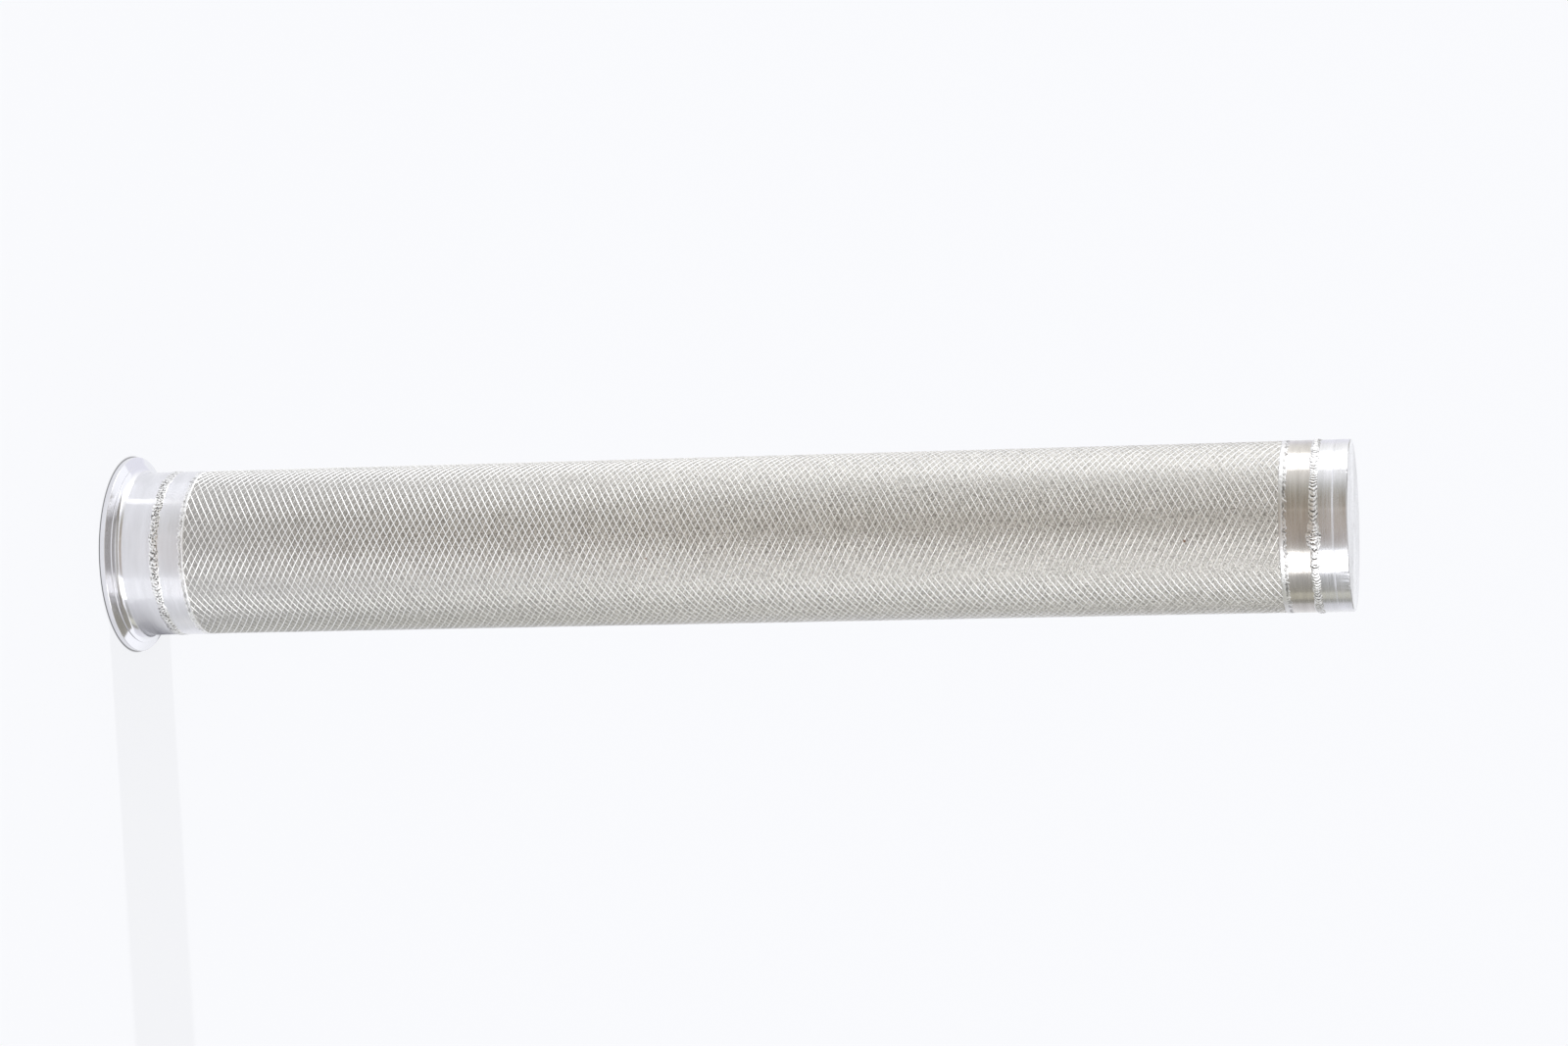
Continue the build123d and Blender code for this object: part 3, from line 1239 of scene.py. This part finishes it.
# Cards that stand at the sides, from the floor up: the darker bands of the bare metal
add_card("card_side", [
    (-165, "#CECED6"),
    (-148, "#D8D8DE"),
    (-134, "#E8E8E8"),
    (-124, "#F2F2F1"),
    (-114, "#FFFFFF"),
], 1.45, ((1.2, 0.002), (1.2, 0.7)))
add_card("card_left", [
    (-81, "#FFFFFF"),
    (-73, "#F6F6F6"),
    (-65, "#E2E2E1"),
    (-57, "#C5C4C0"),
    (-48, "#AFACA3"),
    (-38, "#A0998D"),
    (-24, "#A2998C"),
    (-22, "#C2B9AE"),
    (-20, "#AAA094"),
    (0, "#AEA398"),
    (18, "#ADA59F"),
    (29, "#C8C4C2"),
])
add_card("card_right", [
    (64, "#E0E0E2"),
    (70, "#BEBFC0"),
    (82, "#A8A8A6"),
    (97, "#A4A39C"),
    (99, "#D0CFC4"),
    (112, "#C4C3B8"),
    (114, "#9E9D97"),
    (121, "#A0A09B"),
    (125, "#D2D2D6"),
    (150, "#E8E8EE"),
])

# Cards higher up, which the slopes of the strands and the beads see
add_card("card_above", [
    (-63, "#D8D6D2"),
    (-56, "#B4B0A8"),
    (24, "#B4B0AA"),
    (32, "#DAD9D6"),
], 1.0, ((1.2, 1.12), (1.2, 2.3)))
add_card("card_above_right", [
    (92, "#DAD9D6"),
    (100, "#A5A29A"),
    (163, "#A09D94"),
    (174, "#D8D8DC"),
], 1.0, ((1.2, 0.86), (1.2, 1.75)))
add_card("card_behind_left", [
    (-168, "#E4E4E6"),
    (-158, "#B2B0AA"),
    (-136, "#B2B0AA"),
    (-126, "#E6E6E6"),
], 1.0, ((0.5, 0.6), (0.5, 1.05)))

# Cards that lie on the floor: the darker middle of the filter wall and of the ferrule's taper
add_card("card_on_floor_right", [
    (27, "#ADA59F"),
    (46, "#B2ACA6"),
    (56, "#E0DEDC"),
], 1.2, ((0.17, 0.004), (0.6, 0.005)))
add_card("card_on_floor_left", [
    (-88, "#E8E6E4"),
    (-78, "#C6C2BC"),
    (-50, "#B2ADA4"),
    (-44, "#A8A297"),
], 1.2, ((0.18, 0.004), (0.36, 0.005)))
# The card by the foot is painted shade: a dark sheet that the neck's shine shows where the floor
# at its foot lies in shade
add_card("card_by_foot", [
    (48, "#EAEAEE"),
    (66, "#CECED2"),
    (84, "#A6A6AA"),
    (118, "#84848A"),
    (150, "#B8B8BE"),
], 1.0, ((0.047, 0.002), (0.068, 0.003)))


STREAK_FOOT_AZIMUTH = -40
STREAK_AZIMUTH = -80
STREAK_NEAR = 12 * MM
STREAK_FAR = 70 * MM
STREAK_NEAR_HALF = 2.2 * MM
STREAK_FAR_HALF = 6 * MM
STREAK_HEIGHT = 3 * MM


def add_streak():
    """A bright strip just over the floor that only the metal's shine shows: a painted highlight,
    which draws a white line along the ferrule's neck.
    """
    start = azimuth_vector(STREAK_FOOT_AZIMUTH) * TUBE_R
    start.z = STREAK_HEIGHT
    along = azimuth_vector(STREAK_AZIMUTH)
    side = along.cross(Vector((0, 0, 1)))
    near = start + along * STREAK_NEAR
    far = start + along * STREAK_FAR
    corners = [
        near - side * STREAK_NEAR_HALF,
        near + side * STREAK_NEAR_HALF,
        far + side * STREAK_FAR_HALF,
        far - side * STREAK_FAR_HALF,
    ]
    hang_card("card_streak", corners, [(0, 1, 2, 3)], 1.45)


add_streak()

# Tall panels make the white bands, and boxes higher up light the strands
add_sun(azimuth=-84, elevation=32, strength=2.2)
add_lamp("panel_left", -98, 1.6, low=0.0, high=0.85, width=0.95, power=5)
add_lamp("panel_right", 48.5, 1.6, low=0.0, high=0.85, width=0.86, power=5)
add_lamp("box_left", -100, 1.6, low=1.25, high=1.9, width=1.8, power=2.6)
add_lamp("box_right", 57, 1.6, low=1.45, high=2.45, width=1.2, power=4.2)


def add_surroundings():
    """The room as metal shows it, by the sine of the elevation: pale walls and a dark ceiling
    with a lighter middle. The camera sees the paper's white instead."""
    world = bpy.data.worlds.new("studio")
    bpy.context.scene.world = world
    world.use_nodes = True
    tree = world.node_tree
    tree.nodes.clear()
    direction = add_node(tree, "ShaderNodeTexCoord").outputs["Generated"]
    upward = add_node(tree, "ShaderNodeSeparateXYZ", Vector=direction).outputs["Z"]
    stops = [
        (0.0, "#E5E6E9"),
        (0.2, "#EAEBEE"),
        (0.4, "#F8F9FC"),
        (0.73, "#F8F9FC"),
        (0.79, "#8C8880"),
        (0.88, "#847F77"),
        (0.97, "#CCCBCA"),
        (1.0, "#D8D8DA"),
    ]
    glow = add_node(tree, "ShaderNodeValToRGB", {"stops": stops}, Fac=upward).outputs["Color"]
    lit = add_node(tree, "ShaderNodeBackground", Color=glow, Strength=SKY_GLOW)
    paper = add_node(tree, "ShaderNodeBackground", Color=linear(PAPER), Strength=BACKDROP_GLOW)
    shown = add_node(tree, "ShaderNodeLightPath").outputs["Is Camera Ray"]
    both = add_node(
        tree, "ShaderNodeMixShader", Fac=shown, in_1=lit.outputs[0], in_2=paper.outputs[0]
    )
    add_node(tree, "ShaderNodeOutputWorld", Surface=both.outputs[0])


add_surroundings()

bpy.context.scene.view_settings.view_transform = "Standard"
